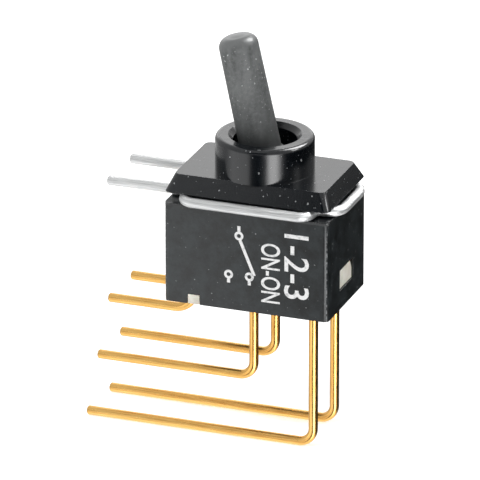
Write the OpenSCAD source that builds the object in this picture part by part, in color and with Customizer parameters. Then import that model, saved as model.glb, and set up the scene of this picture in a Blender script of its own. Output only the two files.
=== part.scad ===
// Miniature two-pole toggle switch with right-angle circuit-board legs and a wire support bracket.
// The lever's pivot is the origin: +Z runs up the bushing, the legs point to -X and the print faces -Y.

/* [Body] */
// Length of the body along a row of terminals
body_len = 6.95; // [6.8:0.05:7.6]
// Depth of the body across the two poles
body_dep = 4.5; // [4.4:0.05:5.2]
// Height of the body below the bracket's groove
body_h = 4.22; // [4.1:0.02:5]
// Wall of the body
wall = 0.4; // [0.3:0.02:0.42]
// Radius of the body's upright edges
body_corner_r = 0.2; // [0.1:0.01:0.24]

/* [Lid] */
// Height of the lid above the groove
lid_h = 0.7; // [0.65:0.01:0.9]
// How far each end of the lid leans in from its foot to its top
lid_lean_x = 0.3; // [0.1:0.02:0.4]
// How far the front and the back of the lid lean in
lid_lean_y = 0.38; // [0.1:0.02:0.4]
// Radius of the lid's corners at its foot
lid_corner_r = 0.26; // [0.15:0.01:0.4]
// Thickness of the lid over the mechanism
lid_roof = 0.55; // [0.45:0.01:0.6]

/* [Bushing] */
// Outer diameter of the bushing
bushing_d = 4; // [3.9:0.05:4.2]
// Height of the bushing above the lid
bushing_h = 1.44; // [1.3:0.02:1.7]
// Bore of the bushing
bore_d = 2.56; // [2.5:0.02:2.7]
// Rounding of the bushing's outer rim
rim_r = 0.2; // [0.1:0.01:0.3]
// Width of the dished chamfer round the mouth of the bore
mouth_chamfer = 0.2; // [0.1:0.01:0.3]

/* [Lever] */
// Diameter of the lever where it leaves the bushing
lever_d = 1.68; // [1.4:0.02:1.74]
// Diameter of the lever near its tip
lever_tip_d = 1.6; // [1.4:0.02:1.74]
// Length of the lever from its pivot to its tip
lever_len = 5.58; // [4.5:0.02:8]
// Rounding of the lever's end
lever_end_r = 0.42; // [0.2:0.01:0.6]
// Height of the slight crown on the lever's end
lever_crown = 0.05; // [0.02:0.01:0.12]
// Full swing of the lever from one side to the other
throw = 25; // [18:1:26]
// Gap between the lever's ball and the bore
ball_gap = 0.12; // [0.06:0.01:0.2]
// Diameter of the tail below the ball
tail_d = 0.9; // [0.7:0.02:1]
// Diameter of the pivot pin
pin_d = 0.5; // [0.4:0.02:0.56]

/* [Drive] */
// Length of the drive block in the direction of the swing
block_len = 1.5; // [1.2:0.05:1.7]
// How far the drive block starts below the ball
block_drop = 0.1; // [0.05:0.01:0.2]
// How far each plunger stands out of the drive block
plunger_out = 1.05; // [0.95:0.01:1.2]
// How deep each plunger sits in the drive block
plunger_in = 0.55; // [0.45:0.01:0.65]
// Diameter of the plungers
plunger_d = 0.68; // [0.6:0.02:0.72]
// Wall of the hollow plungers
plunger_wall = 0.1; // [0.07:0.01:0.12]
// Roof left over each plunger's bore in the drive block
block_roof = 0.2; // [0.15:0.01:0.3]
// Diameter of the coil springs' wire
spring_wire_d = 0.08; // [0.06:0.01:0.1]
// Turns of each coil spring
spring_turns = 7; // [5:0.5:8]

/* [Contacts] */
// Pitch of the legs and of the bracket's pins on the circuit board
pitch = 2.54; // [2.5:0.01:2.56]
// Distance of the outer terminals' middles from the ends of the body
end_room = 0.935; // [0.88:0.005:1]
// Share of the lever's angle that each rocking contact turns through
rock_share = 0.5; // [0.4:0.02:0.54]
// Thickness of the rocking contacts
strip_t = 0.12; // [0.08:0.01:0.15]
// Width of the rocking contacts
strip_w = 0.7; // [0.6:0.02:0.72]
// Radius of the rounded edge that each rocking contact turns on
fulcrum_r = 0.2; // [0.16:0.01:0.22]
// Height of the turning axis above the base
fulcrum_h = 0.4; // [0.38:0.01:0.5]
// How far the outer contacts stop below the turning axis
contact_drop = 0.05; // [0.02:0.01:0.1]
// Radius of the dimple at each end of a rocking contact
dimple_r = 0.12; // [0.1:0.01:0.14]

/* [Legs] */
// Diameter of the gold-plated legs
leg_d = 0.38; // [0.34:0.01:0.42]
// Bend radius of the second and third rows of legs at their centre line
leg_bend_r = 0.6; // [0.45:0.01:0.8]
// Bend radius of the first row, which starts to turn inside the seal
first_bend_r = 0.84; // [0.6:0.01:0.86]
// Drop from the underside of the body to the first row of legs
first_row_drop = 0.64; // [0.62:0.01:1.2]
// Reach of the first row's tips from the pivot towards the board
reach = 6.22; // [5.6:0.02:8]
// How much further each lower row reaches
reach_step = 0.48; // [0:0.02:0.6]
// Chamfer on the cut ends of the wires
tip_chamfer = 0.05; // [0.03:0.01:0.08]

/* [Bracket] */
// Diameter of the tinned bracket wire
wire_d = 0.4; // [0.36:0.01:0.44]
// Distance of the wire's four jogs from the ends of the body
jog_x = 0.795; // [0.72:0.005:0.87]
// Depth at which the wire runs round the far end of the neck
end_run_y = 1.53; // [1.45:0.01:1.6]
// Bend radius at the four outer corners of the front and back runs
outer_bend_r = 0.49; // [0.44:0.01:0.6]
// Bend radius at the far end of the body
end_bend_r = 0.7; // [0.6:0.01:0.74]

/* [Base] */
// Thickness of the base
base_t = 0.8; // [0.7:0.01:0.9]
// Depth of the well for the terminal seal
well_t = 0.3; // [0.25:0.01:0.4]
// Wall round the well
well_wall = 0.15; // [0.1:0.01:0.16]
// Thickness of the terminal seal
seal_t = 0.25; // [0.2:0.01:0.25]
// Thickness of the wall between the two poles
barrier_t = 0.4; // [0.3:0.02:0.6]
// Height of that wall above the base
barrier_h = 1.2; // [0.8:0.05:1.25]
// Width of each snap window in the ends of the body
window_w = 1.6; // [1.3:0.05:1.7]
// Height of each snap window
window_h = 0.88; // [0.8:0.02:0.92]
// Thickness of the stem behind each snap hook
hook_stem = 0.4; // [0.3:0.02:0.45]
// Distance of the keying slot's middle from the left end of the body
key_x = 1.255; // [0.9:0.02:1.7]
// Width of the keying slot in the front of the body
key_w = 0.54; // [0.4:0.02:0.7]
// Height of the keying slot
key_h = 0.42; // [0.3:0.02:0.5]

/* [Hidden] */
$fn = 48;
// Radial clearance of parts that turn or slide in each other
run_gap = 0.02;
// Clearance between fixed parts
seat_gap = 0.01;
// Thickness of the two slices that the leaning lid is drawn between
slice = 0.02;
// Overlap of features that are joined into one solid
join = 0.05;

front = -1;
rear = 1;
poles = [front, rear];
columns = [-1, 0, 1];
ends = [-1, 1];

half_throw = throw / 2;
rock = half_throw * rock_share;

wire_r = wire_d / 2;
groove_h = wire_d + 2 * run_gap;
groove_z = -lid_h - groove_h / 2;
body_top = -lid_h - groove_h;
body_bottom = body_top - body_h;
roof_z = -lid_roof;

column_pitch = body_len / 2 - end_room;
jog_at = body_len / 2 - jog_x;
key_at = key_x - body_len / 2;

neck_inset = 0.08;
neck_wall = 0.5;
neck_side = body_dep / 2 - neck_inset;
neck_end = body_len / 2 - neck_inset;
neck_block = jog_at - wire_r - 2 * run_gap;
run_y = body_dep / 2 + wire_r + seat_gap;
run_x = body_len / 2 + wire_r + seat_gap;
// The two bends of a jog by a pin meet, and so do those of the far end's corner
near_jog_r = run_y - pitch / 2 - outer_bend_r;
far_jog_r = run_x - jog_at - end_bend_r;

cavity_len = body_len - 2 * wall;
cavity_dep = body_dep - 2 * wall + 2 * run_gap;
cavity_corner_r = 0.25;
shelf_t = 0.5;
upper_len = 2 * (neck_block - neck_wall);

bore_r = bore_d / 2;
ball_r = bore_r - ball_gap;
pin_r = pin_d / 2;
slot_wall = 0.15;
slot_reach = body_dep / 2 - lid_lean_y - slot_wall;

base_top = body_bottom + base_t;
fulcrum_z = base_top + fulcrum_h;
head_w = strip_w - 4 * run_gap;
strip_top = fulcrum_r + run_gap + strip_t;
plunger_r = plunger_d / 2;
nose_gap = 0.03;
nose_reach = -fulcrum_z - strip_top - nose_gap;
nose_centre = nose_reach - plunger_r;
block_top = ball_r + block_drop;
block_bottom = nose_reach - plunger_out;
block_side_gap = 0.07;
block_dep = cavity_dep - 2 * block_side_gap;
block_corner_r = 0.2;
tail_cap = 0.3;
block_bore_r = plunger_r + run_gap;
plunger_top = block_bottom - plunger_in;
plunger_bore_r = plunger_r - plunger_wall;
nose_t = 0.4;
plunger_floor = nose_reach - nose_t;
spring_top = block_top + block_roof;
spring_r = plunger_bore_r - run_gap - spring_wire_d / 2;

// The nose of a plunger swings past a rocking contact: near the middle its centre moves on this radius
swing_rate = nose_centre - rock_share * (-fulcrum_z - nose_centre);
swing_rise = nose_centre * (1 + 2 * rock_share) - (-fulcrum_z - nose_centre) * pow(rock_share, 2);
dish_r = pow(swing_rate, 2) / swing_rise + plunger_r + nose_gap;
dish_half = 0.95;
arm_lap = 0.02;
arm_over = 0.16;
dish_lip = strip_top + dish_r - sqrt(pow(dish_r, 2) - pow(dish_half, 2));
contact_gap = 0.03;
dimple_out = 0.08;
arm_end = column_pitch + arm_over;
arm_foot = column_pitch * tan(rock) - contact_drop + contact_gap + dimple_out;
ear_t = 0.08;
ear_half = 0.3;
ear_drop = 0.12;

leg_r = leg_d / 2;
pad_t = 0.2;
contact_top = fulcrum_h - contact_drop;
contact_r = contact_top - pad_t;

function direction(a, b) = (b - a) / norm(b - a);
function left_of(u) = [-u.y, u.x];
function row_z(column) = body_bottom - first_row_drop - (column + 1) * pitch;
function row_reach(column) = reach + (column + 1) * reach_step;
function row_bend_r(column) = column < 0 ? first_bend_r : leg_bend_r;

module rounded_rect(len, dep, r) {
    square([len - 2 * r, dep], center = true);
    square([len, dep - 2 * r], center = true);
    for (x = ends, y = ends)
        translate([x * (len / 2 - r), y * (dep / 2 - r)])
            circle(r);
}

module rounded_plate(len, dep, h, r) {
    linear_extrude(h) rounded_rect(len, dep, r);
}

// Everything that moves with the lever is drawn upright and leans with this
module at_lever() {
    rotate([0, -half_throw, 0]) children();
}

module lid_shell() {
    hull() {
        translate([0, 0, -lid_h])
            rounded_plate(body_len, body_dep, slice, lid_corner_r, $fn = 32);
        translate([0, 0, -slice])
            rounded_plate(body_len - 2 * lid_lean_x, body_dep - 2 * lid_lean_y, slice,
                lid_corner_r, $fn = 32);
    }
}

module bushing_shell() {
    translate([0, 0, -join])
        cylinder(h = bushing_h - rim_r + join, r = bushing_d / 2);
    translate([0, 0, bushing_h - rim_r])
        rotate_extrude()
            translate([bushing_d / 2 - rim_r, 0]) circle(rim_r);
    cylinder(h = bushing_h, r = bushing_d / 2 - rim_r);
}

// Cross-shaped neck that the bracket wire is bent round
module neck() {
    block_r = outer_bend_r - wire_r - 2 * run_gap;
    tongue_r = end_bend_r - wire_r - 2 * run_gap;
    tongue_far = end_run_y - wire_r - 2 * run_gap;
    tongue_near = pitch / 2 - wire_r - 2 * run_gap;
    translate([0, 0, body_top - join])
        linear_extrude(groove_h + 2 * join) {
            rounded_rect(2 * neck_block, 2 * neck_side, block_r);
            translate([neck_end / 2, 0])
                rounded_rect(neck_end, 2 * tongue_far, tongue_r);
            translate([-neck_end / 2, 0])
                square([neck_end, 2 * tongue_near], center = true);
        }
}

module pin_slots() {
    slot_r = pin_r + run_gap;
    rotate([90, 0, 0])
        cylinder(h = 2 * slot_reach, r = slot_r, center = true);
    translate([-slot_r, -slot_reach, roof_z - join])
        cube([2 * slot_r, 2 * slot_reach, join - roof_z]);
}

module snap_windows() {
    for (x = ends)
        translate([x * body_len / 2, 0, base_top + window_h / 2])
            cube([2 * wall + 2 * join, window_w, window_h], center = true);
}

module key_slot() {
    translate([key_at - key_w / 2, -body_dep / 2 - join, body_bottom - join])
        cube([key_w, wall + 2 * join, key_h + join]);
}

module housing() {
    color("#34373a")
        difference() {
            union() {
                lid_shell();
                bushing_shell();
                neck();
                translate([0, 0, body_bottom])
                    rounded_plate(body_len, body_dep, body_h, body_corner_r);
            }
            translate([0, 0, roof_z - join])
                cylinder(h = bushing_h - roof_z + 2 * join, r = bore_r);
            translate([0, 0, bushing_h - mouth_chamfer])
                cylinder(h = mouth_chamfer + join, r1 = bore_r, r2 = bore_r + mouth_chamfer + join);
            translate([0, 0, body_top - shelf_t - join])
                rounded_plate(upper_len, cavity_dep, roof_z - body_top + shelf_t + join, cavity_corner_r);
            translate([0, 0, body_bottom - join])
                rounded_plate(cavity_len, cavity_dep, body_h - shelf_t + join, cavity_corner_r);
            pin_slots();
            snap_windows();
            key_slot();
        }
}

module leg_holes(h) {
    for (column = columns, pole = poles)
        translate([column * column_pitch, pole * pitch / 2, 0])
            cylinder(h = h, r = leg_r + seat_gap);
}

// Upright hook whose nose sits in a snap window, with its upper corners cut back
module snap_hook() {
    stem_x = cavity_len / 2 - run_gap;
    nose_back = 0.06;
    nose_x = body_len / 2 - nose_back;
    half_w = window_w / 2 - 2 * run_gap;
    nose_h = window_h - run_gap;
    corner = 0.2;
    translate([stem_x - hook_stem, -half_w, base_top - join])
        cube([hook_stem, 2 * half_w, nose_h + join]);
    translate([stem_x - join, 0, base_top + run_gap])
        rotate([90, 0, 90])
            linear_extrude(nose_x - stem_x + join)
                polygon([
                    [-half_w, 0], [half_w, 0], [half_w, nose_h - run_gap - 2 * corner],
                    [half_w - corner, nose_h - run_gap], [-half_w, nose_h - run_gap]
                ]);
}

module base() {
    plate_len = cavity_len - 2 * run_gap;
    plate_dep = cavity_dep - 2 * run_gap;
    barrier_len = cavity_len - 2 * run_gap - 2 * hook_stem + 2 * join;
    color("#e9e6dc") {
        difference() {
            union() {
                translate([0, 0, body_bottom])
                    rounded_plate(plate_len, plate_dep, base_t, cavity_corner_r - run_gap);
                translate([key_at - key_w / 2 + run_gap, -body_dep / 2 + seat_gap, body_bottom])
                    cube([key_w - 2 * run_gap, wall + join, key_h - run_gap]);
                translate([-barrier_len / 2, -barrier_t / 2, base_top - join])
                    cube([barrier_len, barrier_t, barrier_h + join]);
                snap_hook();
                mirror([1, 0, 0]) snap_hook();
            }
            translate([0, 0, body_bottom - join])
                rounded_plate(plate_len - 2 * well_wall, plate_dep - 2 * well_wall, well_t + join,
                    cavity_corner_r - run_gap);
            translate([0, 0, body_bottom])
                leg_holes(base_t + join);
        }
    }
}

module terminal_seal() {
    seal_len = cavity_len - 2 * run_gap - 2 * well_wall - 2 * seat_gap;
    seal_dep = cavity_dep - 2 * run_gap - 2 * well_wall - 2 * seat_gap;
    color("#22201e")
        translate([0, 0, body_bottom + well_t - seal_t])
            difference() {
                rounded_plate(seal_len, seal_dep, seal_t, cavity_corner_r - run_gap);
                translate([0, 0, -join]) leg_holes(seal_t + 2 * join);
            }
}

// Round wire along -X that ends at the origin in a small chamfer
module wire_end(length, r) {
    rotate([0, 90, 0]) {
        cylinder(h = tip_chamfer, r1 = r - tip_chamfer, r2 = r);
        translate([0, 0, tip_chamfer])
            cylinder(h = length - tip_chamfer, r = r);
    }
}

module leg(column) {
    bend_r = row_bend_r(column);
    bend_x = column * column_pitch - bend_r;
    bend_z = row_z(column) + bend_r;
    translate([column * column_pitch, 0, bend_z])
        cylinder(h = base_top + join - bend_z, r = leg_r);
    translate([bend_x, 0, bend_z])
        rotate([-90, 0, 0])
            rotate_extrude(angle = 90)
                translate([bend_r, 0]) circle(leg_r);
    translate([-row_reach(column), 0, row_z(column)])
        wire_end(row_reach(column) + bend_x, leg_r);
}

// Middle head: an upright with a round top that the rocking contact turns on
module fulcrum_head() {
    foot_half = 0.42;
    foot_t = 0.12;
    translate([-fulcrum_r, -head_w / 2, base_top])
        cube([2 * fulcrum_r, head_w, fulcrum_h]);
    translate([0, 0, fulcrum_z])
        rotate([90, 0, 0])
            cylinder(h = head_w, r = fulcrum_r, center = true);
    translate([-foot_half, -head_w / 2, base_top])
        cube([2 * foot_half, head_w, foot_t]);
}

// Outer head: a pad with a domed contact on it
module contact_head(column) {
    pad_half = 0.3;
    translate([column * column_pitch, 0, base_top]) {
        translate([-pad_half, -head_w / 2, 0])
            cube([2 * pad_half, head_w, pad_t]);
        translate([0, 0, pad_t])
            sphere(contact_r);
    }
}

module terminal(column, pole) {
    color("#c9a24a")
        translate([0, pole * pitch / 2, 0]) {
            leg(column);
            if (column == 0) fulcrum_head();
            if (column != 0) contact_head(column);
        }
}

module straight_wire(a, b) {
    translate(a)
        rotate([0, 0, atan2(b.y - a.y, b.x - a.x)])
            rotate([0, 90, 0])
                cylinder(h = norm(b - a), r = wire_r);
}

module bent_wire(corner, u, v, r) {
    turn = acos(u * v);
    side = sign(cross(u, v));
    centre = corner - u * r * tan(turn / 2) + side * r * left_of(u);
    first = atan2(-side * left_of(u).y, -side * left_of(u).x);
    translate(centre)
        rotate([0, 0, side > 0 ? first : first - turn])
            rotate_extrude(angle = turn)
                translate([r, 0]) circle(wire_r);
}

// Half of the bracket, from the tip of a pin to the middle of the far end
module bracket_half() {
    corners = [
        [-reach, -pitch / 2], [-jog_at, -pitch / 2], [-jog_at, -run_y], [jog_at, -run_y],
        [jog_at, -end_run_y], [run_x, -end_run_y], [run_x, 0]
    ];
    bends = [near_jog_r, outer_bend_r, outer_bend_r, far_jog_r, end_bend_r];
    last = len(corners) - 1;
    trims = [tip_chamfer, each bends, 0];
    for (i = [1 : last]) {
        u = direction(corners[i - 1], corners[i]);
        straight = norm(corners[i] - corners[i - 1]) - trims[i - 1] - trims[i];
        if (straight > seat_gap)
            straight_wire(corners[i - 1] + u * trims[i - 1], corners[i] - u * trims[i]);
    }
    for (i = [1 : last - 1])
        bent_wire(corners[i], direction(corners[i - 1], corners[i]),
            direction(corners[i], corners[i + 1]), bends[i - 1]);
    translate(corners[0])
        rotate([0, 90, 0])
            cylinder(h = tip_chamfer, r1 = wire_r - tip_chamfer, r2 = wire_r);
}

module support_bracket() {
    color("#c8cacc")
        translate([0, 0, groove_z]) {
            bracket_half();
            mirror([0, 1, 0]) bracket_half();
        }
}

module toggle_lever() {
    tip_r = lever_tip_d / 2;
    flat_r = tip_r - lever_end_r;
    shaft_top = lever_len - lever_end_r;
    crown_r = (pow(flat_r, 2) + pow(lever_crown, 2)) / (2 * lever_crown);
    tail_end = block_bottom - tail_cap;
    color("#55585a")
        at_lever()
            difference() {
                union() {
                    cylinder(h = shaft_top, r1 = lever_d / 2, r2 = tip_r);
                    translate([0, 0, shaft_top])
                        rotate_extrude()
                            intersection() {
                                translate([flat_r, 0]) circle(lever_end_r);
                                square([tip_r, lever_end_r]);
                            }
                    cylinder(h = lever_len, r = flat_r);
                    intersection() {
                        translate([0, 0, shaft_top])
                            cylinder(h = 2 * lever_end_r, r = flat_r);
                        translate([0, 0, lever_len + lever_crown - crown_r])
                            sphere(crown_r);
                    }
                    sphere(ball_r);
                    translate([0, 0, -tail_end])
                        cylinder(h = tail_end, r = tail_d / 2);
                }
                rotate([90, 0, 0])
                    cylinder(h = 2 * ball_r + join, r = pin_r + seat_gap, center = true);
            }
}

module pivot_pin() {
    pin_half = slot_reach - run_gap;
    color("#b9bcbf")
        at_lever()
            rotate([90, 0, 0])
                cylinder(h = 2 * pin_half, r = pin_r, center = true);
}

module drive_block() {
    block_h = block_bottom - block_top;
    color("#d8d2bf")
        at_lever()
            difference() {
                translate([0, 0, -block_bottom])
                    rounded_plate(block_len, block_dep, block_h, block_corner_r);
                translate([0, 0, -block_bottom + tail_cap - seat_gap])
                    cylinder(h = block_h, r = tail_d / 2 + seat_gap);
                for (pole = poles)
                    translate([0, pole * pitch / 2, -block_bottom - join])
                        cylinder(h = block_bottom - spring_top + join, r = block_bore_r);
            }
}

module plunger(pole) {
    color("#d9b866")
        at_lever()
            translate([0, pole * pitch / 2, 0])
                difference() {
                    union() {
                        translate([0, 0, -nose_centre])
                            cylinder(h = nose_centre - plunger_top, r = plunger_r);
                        translate([0, 0, -nose_centre])
                            sphere(plunger_r);
                    }
                    translate([0, 0, -plunger_floor])
                        cylinder(h = plunger_floor - plunger_top + join, r = plunger_bore_r);
                }
}

// Coil spring with closed end turns, swept along its own helix
module spring(pole) {
    wire = spring_wire_d / 2;
    low = -plunger_floor + seat_gap + wire;
    high = -spring_top - seat_gap - wire;
    closed = 0.8;
    steps = 14;
    sides = 8;
    rings = floor(spring_turns * steps);
    function turn(i) = i / steps;
    function open_share(i) =
        min(1, max(0, (turn(i) - closed) / (spring_turns - 2 * closed)));
    function rise(i) =
        spring_wire_d * 1.05 * (min(turn(i), closed) + max(0, turn(i) - spring_turns + closed));
    free = high - low - spring_wire_d * 1.05 * 2 * closed;
    function ring_point(i, k) =
        let (a = 360 * turn(i), b = 360 * k / sides, r = spring_r + wire * cos(b))
        [r * cos(a), r * sin(a), low + rise(i) + free * open_share(i) + wire * sin(b)];
    points = [for (i = [0 : rings], k = [0 : sides - 1]) ring_point(i, k)];
    skin = [
        for (i = [0 : rings - 1], k = [0 : sides - 1])
            let (n = (k + 1) % sides)
            each [
                [i * sides + k, i * sides + n, (i + 1) * sides + n],
                [i * sides + k, (i + 1) * sides + n, (i + 1) * sides + k]
            ]
    ];
    first_cap = [for (k = [1 : sides - 2]) [0, k + 1, k]];
    last_cap = [for (k = [1 : sides - 2]) [rings * sides, rings * sides + k, rings * sides + k + 1]];
    color("#a7abae")
        at_lever()
            translate([0, pole * pitch / 2, 0])
                polyhedron(points, concat(skin, first_cap, last_cap));
}

// Side view of a rocking contact about its turning axis, level between the two positions
module contactor_outline() {
    difference() {
        intersection() {
            translate([0, strip_top + dish_r])
                circle(dish_r + strip_t);
            translate([-dish_half, 0])
                square([2 * dish_half, dish_lip]);
        }
        translate([0, strip_top + dish_r])
            circle(dish_r);
    }
    for (x = ends)
        polygon([
            [x * (dish_half - arm_lap), dish_lip], [x * arm_end, arm_foot + strip_t],
            [x * arm_end, arm_foot], [x * (dish_half - arm_lap), dish_lip - strip_t]
        ]);
    for (x = ends)
        translate([x * column_pitch, arm_foot - dimple_out + dimple_r])
            circle(dimple_r);
}

module contactor(pole) {
    ear_y = head_w / 2 + run_gap;
    color("#cfa24f")
        translate([0, pole * pitch / 2, fulcrum_z])
            rotate([0, rock, 0]) {
                rotate([90, 0, 0])
                    linear_extrude(strip_w, center = true) contactor_outline();
                for (y = ends)
                    translate([-ear_half, y > 0 ? ear_y : -ear_y - ear_t, -ear_drop])
                        cube([2 * ear_half, ear_t, ear_drop + strip_top - strip_t / 2]);
            }
}

housing();
base();
terminal_seal();
support_bracket();
terminal(-1, front);  // terminal_front_1
terminal(0, front);  // terminal_front_2
terminal(1, front);  // terminal_front_3
terminal(-1, rear);  // terminal_rear_1
terminal(0, rear);  // terminal_rear_2
terminal(1, rear);  // terminal_rear_3
toggle_lever();
pivot_pin();
drive_block();
plunger(front);  // plunger_front
plunger(rear);  // plunger_rear
spring(front);  // spring_front
spring(rear);  // spring_rear
contactor(front);  // contactor_front
contactor(rear);  // contactor_rear
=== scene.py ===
import math

import bmesh
import bpy
from mathutils import Matrix, Vector


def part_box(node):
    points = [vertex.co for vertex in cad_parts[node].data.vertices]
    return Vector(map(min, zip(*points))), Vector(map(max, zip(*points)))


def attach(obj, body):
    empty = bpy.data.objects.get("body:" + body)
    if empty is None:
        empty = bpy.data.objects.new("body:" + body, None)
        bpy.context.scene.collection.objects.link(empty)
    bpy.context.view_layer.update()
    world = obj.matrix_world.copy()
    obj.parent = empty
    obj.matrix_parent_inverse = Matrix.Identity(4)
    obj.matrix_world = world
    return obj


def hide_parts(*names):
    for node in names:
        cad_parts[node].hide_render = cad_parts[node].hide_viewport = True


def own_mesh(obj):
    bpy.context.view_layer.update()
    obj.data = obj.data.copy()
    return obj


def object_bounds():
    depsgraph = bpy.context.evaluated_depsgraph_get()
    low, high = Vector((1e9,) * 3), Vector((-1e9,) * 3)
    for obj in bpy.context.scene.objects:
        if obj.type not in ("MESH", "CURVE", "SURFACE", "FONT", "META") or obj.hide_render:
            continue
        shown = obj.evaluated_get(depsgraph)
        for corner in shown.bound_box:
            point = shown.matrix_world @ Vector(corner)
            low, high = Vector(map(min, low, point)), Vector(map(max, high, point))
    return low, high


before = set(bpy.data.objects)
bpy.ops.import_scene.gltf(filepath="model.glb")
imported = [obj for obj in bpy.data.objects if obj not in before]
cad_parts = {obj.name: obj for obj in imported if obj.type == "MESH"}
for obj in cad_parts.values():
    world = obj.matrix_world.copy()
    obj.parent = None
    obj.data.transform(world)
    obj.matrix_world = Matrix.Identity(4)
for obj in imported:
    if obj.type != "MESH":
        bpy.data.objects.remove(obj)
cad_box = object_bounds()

# Studio
# A photographer's table: a white sweep under the switch, one large soft lamp on each side of the camera, and
# a lamp behind that the flat tops and the wire catch. The camera stands right of the front and looks down.


def linear(code):
    """The linear colour of an sRGB hex code."""
    shares = [int(code[i:i + 2], 16) / 255 for i in (1, 3, 5)]
    return [s / 12.92 if s <= 0.04045 else ((s + 0.055) / 1.055) ** 2.4 for s in shares] + [1]


def add(tree, kind, sockets=(), links=(), **settings):
    """Adds a node with its settings, the values of its own sockets and the outputs that feed them."""
    node = tree.nodes.new(kind)
    for name, value in settings.items():
        setattr(node, name, value)
    for name, value in dict(sockets).items():
        node.inputs[name].default_value = value
    for name, source in dict(links).items():
        tree.links.new(source, node.inputs[name])
    return node


def bare_material(name):
    """A new material and its empty tree."""
    material = bpy.data.materials.new(name)
    material.use_nodes = True
    material.node_tree.nodes.clear()
    return material, material.node_tree


def way_out(azimuth, elevation):
    """The direction from the switch that lies so many degrees round from its front, and so many up."""
    turn, rise = math.radians(azimuth), math.radians(elevation)
    return Vector((math.sin(turn) * math.cos(rise), -math.cos(turn) * math.cos(rise), math.sin(rise)))


def place_camera():
    """The photograph's view, through a long lens, so that the rows of legs stay nearly parallel."""
    back, distance, aim = way_out(20.2233, 21.9074), 0.3, Vector((-0.000564, -0.001358, -0.0027))
    camera = bpy.data.objects.new("camera", bpy.data.cameras.new("camera"))
    camera.data.sensor_width = 36
    camera.data.lens = 563.5
    camera.data.clip_start = 0.01
    camera.location = aim + distance * back
    camera.rotation_euler = back.to_track_quat("Z", "Y").to_euler()
    bpy.context.collection.objects.link(camera)
    bpy.context.scene.camera = camera


def place_lamp(name, azimuth, elevation, distance, size, power, glints=False):
    """A square soft lamp that looks at the middle of the switch; only one that glints shows in gloss."""
    back, middle = way_out(azimuth, elevation), Vector((0, 0, -0.003))
    lamp = bpy.data.objects.new(name, bpy.data.lights.new(name, "AREA"))
    lamp.data.size = size
    lamp.data.energy = power
    lamp.location = middle + distance * back
    lamp.rotation_euler = back.to_track_quat("Z", "Y").to_euler()
    lamp.visible_glossy = glints
    bpy.context.collection.objects.link(lamp)


def fill_world():
    """White to the camera and soft grey to matt surfaces. Gloss sees the room: a white table, a dark gap at
    the camera, a tall bright strip right of it, darkness further right, a grey room above with a softbox high
    on the right, and a bright wall behind."""
    table, room, wall, softbox, matt, brightest = 1.7, 0.92, 2.0, 18, 0.4, 8.5
    to_wall, to_softbox = (-0.38, 0.89, 0.25), (0.413, 0.492, 0.766)
    stops = [(-180, 0.05), (-168, 0.7), (-80, 0.7), (-60, 1.8), (-20, 1.8), (-12, 0.04), (10, 0.02),
             (22, 0.4), (31, brightest), (46, brightest), (60, 0.3), (70, 0.01), (180, 0.03)]
    world = bpy.data.worlds.new("studio")
    world.use_nodes = True
    tree = world.node_tree
    tree.nodes.clear()
    direction = add(tree, "ShaderNodeTexCoord").outputs["Generated"]
    parts = add(tree, "ShaderNodeSeparateXYZ", links={"Vector": direction})
    ahead = add(tree, "ShaderNodeMath", operation="MULTIPLY", sockets={1: -1}, links={0: parts.outputs["Y"]})
    azimuth = add(tree, "ShaderNodeMath", operation="ARCTAN2",
                  links={0: parts.outputs["X"], 1: ahead.outputs["Value"]})
    share = add(tree, "ShaderNodeMapRange", sockets={"From Min": -math.pi, "From Max": math.pi},
                links={"Value": azimuth.outputs["Value"]})
    ring = add(tree, "ShaderNodeValToRGB", links={"Fac": share.outputs["Result"]})
    ramp = ring.color_ramp.elements
    while len(ramp) < len(stops):
        ramp.new(0.5)
    for stop, (degrees, level) in zip(ramp, stops):
        stop.position = (degrees + 180) / 360
        stop.color = [level / brightest] * 3 + [1]
    around = add(tree, "ShaderNodeMath", operation="MULTIPLY", sockets={1: brightest},
                 links={0: ring.outputs["Color"]})

    def facing(way):
        """How nearly a ray goes a given way, up to 1."""
        return add(tree, "ShaderNodeVectorMath", operation="DOT_PRODUCT", sockets={1: way},
                   links={0: direction}).outputs["Value"]

    def turning(value, start, end, before, after):
        """A level that turns softly into another one while a value goes from start to end."""
        share = add(tree, "ShaderNodeMapRange", interpolation_type="SMOOTHSTEP",
                    sockets={"From Min": start, "From Max": end}, links={"Value": value})
        turned = add(tree, "ShaderNodeMix", links={"Factor": share.outputs["Result"]})
        for socket, level in (("A", before), ("B", after)):
            if isinstance(level, bpy.types.NodeSocket):
                tree.links.new(level, turned.inputs[socket])
            else:
                turned.inputs[socket].default_value = level
        return turned.outputs["Result"]

    below = turning(parts.outputs["Z"], -0.9, -0.55, table, around.outputs["Value"])
    sky = turning(facing(to_wall), 0.84, 0.96, room, wall)
    above = turning(facing(to_softbox), 0.945, 0.965, sky, softbox)
    gloss = turning(parts.outputs["Z"], -0.08, 0.16, below, above)
    path = add(tree, "ShaderNodeLightPath")
    seen = add(tree, "ShaderNodeMix", sockets={"A": matt},
               links={"Factor": path.outputs["Is Glossy Ray"], "B": gloss})
    clear = add(tree, "ShaderNodeMath", operation="MAXIMUM",
                links={0: path.outputs["Is Camera Ray"], 1: path.outputs["Is Transmission Ray"]})
    level = add(tree, "ShaderNodeMix", sockets={"B": 1},
                links={"Factor": clear.outputs["Value"], "A": seen.outputs["Result"]})
    background = add(tree, "ShaderNodeBackground", sockets={"Color": (1, 1, 1, 1)},
                     links={"Strength": level.outputs["Result"]})
    add(tree, "ShaderNodeOutputWorld", links={"Surface": background.outputs["Background"]})
    bpy.context.scene.world = world


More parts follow.
